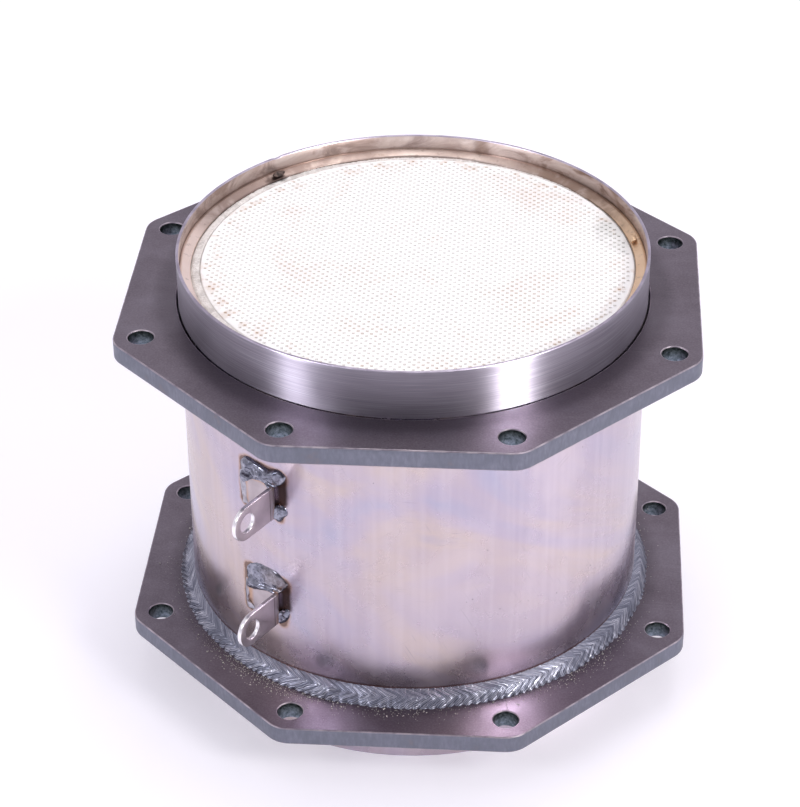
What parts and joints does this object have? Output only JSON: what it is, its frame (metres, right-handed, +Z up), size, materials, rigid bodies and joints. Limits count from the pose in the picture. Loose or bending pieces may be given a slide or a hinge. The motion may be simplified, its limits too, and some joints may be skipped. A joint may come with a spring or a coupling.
{
  "type": "flanged ceramic honeycomb canister",
  "caption": "Open stainless can around a white ceramic honeycomb block, with octagonal bolting plates near its ends and bent lugs with eyes on its side.",
  "frame": {"origin": "centre of the can's lower rim, which the object stands on", "axes": "+Z up along the can's axis; +X and +Y point at flats of the octagonal plates; the lugs are at the front left, between -Y and -X"},
  "size_m": [0.236, 0.236, 0.1908],
  "materials": {
    "can": "smooth cold-rolled stainless with faint heat tints",
    "ceramic": "matt white extruded honeycomb",
    "lug": "smooth stainless strip",
    "mat": "pressed ceramic fibre",
    "plate": "dark hot-rolled mill finish with brighter cut edges",
    "ring": "stainless with straw heat tint",
    "seal": "greyish fibre braid",
    "weld": "rippled bare weld metal"
  },
  "bodies": {
    "root": {"can_seam_weld": "weld", "can_shell": "can", "ceramic_honeycomb": "ceramic", "lower_edge_seal": "seal", "lower_flange": "plate", "lower_flange_weld": "weld", "lower_lug": "lug", "lower_lug_end_weld": "weld", "lower_lug_root_weld": "weld", "lower_lug_top_weld": "weld", "lower_retaining_ring": "ring", "lower_ring_tack_1": "weld", "lower_ring_tack_2": "weld", "lower_ring_tack_3": "weld", "support_mat": "mat", "upper_edge_seal": "seal", "upper_flange": "plate", "upper_flange_weld": "weld", "upper_lug": "lug", "upper_lug_end_weld": "weld", "upper_lug_root_weld": "weld", "upper_lug_top_weld": "weld", "upper_retaining_ring": "ring", "upper_ring_tack_1": "weld", "upper_ring_tack_2": "weld", "upper_ring_tack_3": "weld"}
  },
  "joints": []
}
